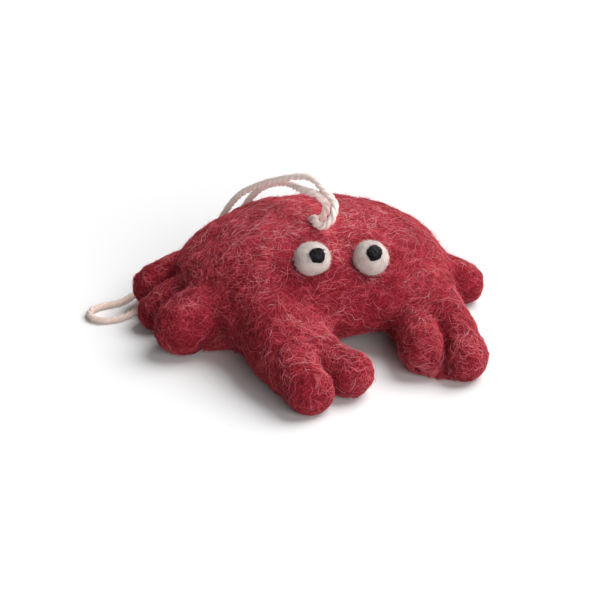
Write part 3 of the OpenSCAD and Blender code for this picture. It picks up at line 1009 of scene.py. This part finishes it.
# %% Fray the twine
cream = dyed(
    "twine", "cream_strands", (0.0, (0.78, 0.62, 0.55)), (0.5, (0.90, 0.79, 0.73)), (1.0, (0.96, 0.90, 0.86)),
)
n = 1400
begin, run = rng.uniform(1, twine_marks[-1] - 6, n), rng.uniform(1.2, 4.0, n)
t = np.linspace(0, 1, 6)
spot = np.searchsorted(twine_marks, begin[:, None] + run[:, None] * t).clip(0, len(twine_marks) - 1)
ply = rng.integers(0, 3, n)[:, None]
middles = np.stack([middle for middle, _ in plies])[ply, spot]
thick = np.stack([radius for _, radius in plies])[ply, spot]
outward = unit(middles - twine_line[spot])
across = np.cross(outward, unit(np.gradient(twine_line, axis=0))[spot])
lean = (rng.uniform(-1.1, 1.1, n)[:, None] + rng.normal(0, 0.8, n)[:, None] * t)[..., None]
normals = np.cos(lean) * outward + np.sin(lean) * across
proud = rng.exponential(0.08, n)[:, None] * np.sin(np.pi * t) ** 0.8 - 0.01
paths = middles + (thick + proud)[..., None] * normals
paths[..., 2] = np.maximum(paths[..., 2], 0.04)
thick, tone = rng.uniform(0.016, 0.030, n), rng.uniform(0, 0.98, n)
add_strands("frayed_twine", cream, paths, normals, thick, tone)
print("strands on the twine:", n)

# %% [markdown]
# ## White felt, raw wool, black lumps and twine
# The eyes are fine white felt with a warm grey painted into its hollows as shade, the core is creamy
# raw wool, and the pupils are nearly black with a faint gloss. The twine is soft cotton, creamy pink
# near the crab; it is painted browner and darker towards the loop and darker in the grooves between
# its plies, both painted shade. Light comes through it, and a faint glow of its own stands for that,
# where real scattering would take long to render. Each finish is noise at the real grain's size.

# %% Mix the other finishes
f = Finish("white_felt")
grain = f.noise(0.5, 4, 0.8, ridged=True)
soft = f.noise(2.2, 3)
# Painted shade: the grain that makes the bump also greys the hollows.
tone = grain * 0.5 + soft * 0.55
colour = f.ramp(tone, (0.10, (0.60, 0.49, 0.46)), (0.45, (0.80, 0.70, 0.66)), (0.85, (0.90, 0.83, 0.79)))
eye_felt = f.finish(colour, 0.9, Normal=f.bump(grain, 0.08, 0.7), Sheen_Weight=0.2, Specular_IOR_Level=0.2)

f = Finish("raw_wool")
grain = f.noise(1.2, 4, 1.0, ridged=True)
colour = f.ramp(grain, (0.1, (0.50, 0.42, 0.33)), (0.6, (0.74, 0.66, 0.55)), (1.0, (0.86, 0.80, 0.70)))
raw = f.finish(colour, 0.95, Normal=f.bump(grain, 0.3, 0.8), Sheen_Weight=0.3)

f = Finish("black_lump")
grain = f.noise(0.45, 4, 0.5)
colour = f.ramp(grain, (0.3, (0.002, 0.002, 0.003)), (0.75, (0.009, 0.007, 0.009)))
roughness = grain * 0.6 + 0.12
lump = f.finish(colour, roughness, Normal=f.bump(grain, 0.15, 0.9), Specular_IOR_Level=0.2)

for side in eyes:
    bpy.data.objects[f"{side}_eye_ball"].data.materials.append(eye_felt)
    bpy.data.objects[f"{side}_pupil_lump"].data.materials.append(lump)
core.data.materials.append(raw)

# %% Mix the twine's cotton
f = Finish("cotton_twine")
fibres = f.noise(0.35, 3, 0.6, ridged=True)
flecks = f.noise(2.4, 3, 0.5)
# Painted shade: darker and browner towards the loop, along minus X.
loop_shade = f.axis("X") * (-1 / (45 * MM)) + flecks * 0.5 - 0.35
pink = f.ramp(fibres, (0.05, (0.84, 0.71, 0.66)), (0.35, (0.94, 0.84, 0.80)), (0.9, (0.97, 0.92, 0.89)))
shaded_brown = f.ramp(fibres, (0.05, (0.68, 0.53, 0.46)), (0.35, (0.83, 0.68, 0.61)), (0.9, (0.92, 0.81, 0.75)))
colour = f.blend(f.ramp(loop_shade, (0.0, (0, 0, 0)), (0.7, (1, 1, 1))), pink, shaded_brown)
# Painted shade in the grooves between the plies.
groove = f.node("Attribute", {"attribute_name": "groove"}, None, "Fac")
colour = f.blend(groove * 0.38, colour, (0.54, 0.37, 0.32, 1))
cotton = f.finish(
    colour, 0.85, Normal=f.bump(fibres, 0.09, 0.8), Sheen_Weight=0.15, Specular_IOR_Level=0.25,
    Emission_Color=colour, Emission_Strength=0.18,
)
twine.data.materials.append(cotton)
knot.data.materials.append(cotton)
print("finishes:", [m.name for m in bpy.data.materials if m.users])

# %% [markdown]
# ## Floor and light
# The photograph was taken on white, under a large soft light above and to the right, with some more
# from the front. Lamps close by would leave the far floor grey, so two wide suns are used, a broad
# key from above and a low fill from the front right, and a little sky. The floor is white to look
# at and grey to light that falls back from it, so the belly stays in shade.


# %% Build the studio
half = 6.0
corners = [(-half, -half, 0), (half, -half, 0), (half, half, 0), (-half, half, 0)]
sheet = bpy.data.meshes.new("floor")
sheet.from_pydata(corners, [], [(0, 1, 2, 3)])
floor = bpy.data.objects.new("floor", sheet)
bpy.context.collection.objects.link(floor)
f = Finish("white_floor")
shade = f.blend(f.straight_view(), (0.5, 0.5, 0.5, 1), (0.97, 0.97, 0.97, 1))
floor.data.materials.append(f.finish(shade, 0.9, Specular_IOR_Level=0.0))


def add_sun(name, towards, strength, width):
    """A sun that shines from a direction, as wide as an angle."""
    data = bpy.data.lights.new(name, "SUN")
    data.energy, data.angle = strength, math.radians(width)
    sun = bpy.data.objects.new(name, data)
    sun.rotation_mode = "QUATERNION"
    sun.rotation_quaternion = Vector(towards).to_track_quat("Z", "Y")
    bpy.context.collection.objects.link(sun)


right = Vector((math.cos(turn), math.sin(turn), 0))
behind = Vector((-math.sin(turn), math.cos(turn), 0))
high = Vector((0, 0, 1))
add_sun("key", 0.7 * right + 0.35 * behind + high, 3.25, 52)
add_sun("fill", 0.6 * right - behind + 0.25 * high, 2.85, 60)

world = bpy.data.worlds.new("studio")
world.use_nodes = True
bpy.context.scene.world = world
w = Finish("studio", world.node_tree)
sky, backdrop = (
    w.node("Background", None, {"Color": (1, 1, 1, 1), "Strength": light}) for light in (0.04, 1.0)
)
both = w.node("MixShader", None, {0: w.straight_view(), 1: sky, 2: backdrop})
w.node_end("OutputWorld", both)
bpy.context.scene.view_settings.view_transform = "Standard"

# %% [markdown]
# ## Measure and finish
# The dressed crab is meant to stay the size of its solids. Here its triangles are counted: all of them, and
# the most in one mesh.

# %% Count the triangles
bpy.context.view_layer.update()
counts = [sum(len(p.vertices) - 2 for p in mesh.polygons) for mesh in bpy.data.meshes]
print("triangles:", sum(counts), "most in one mesh:", max(counts))
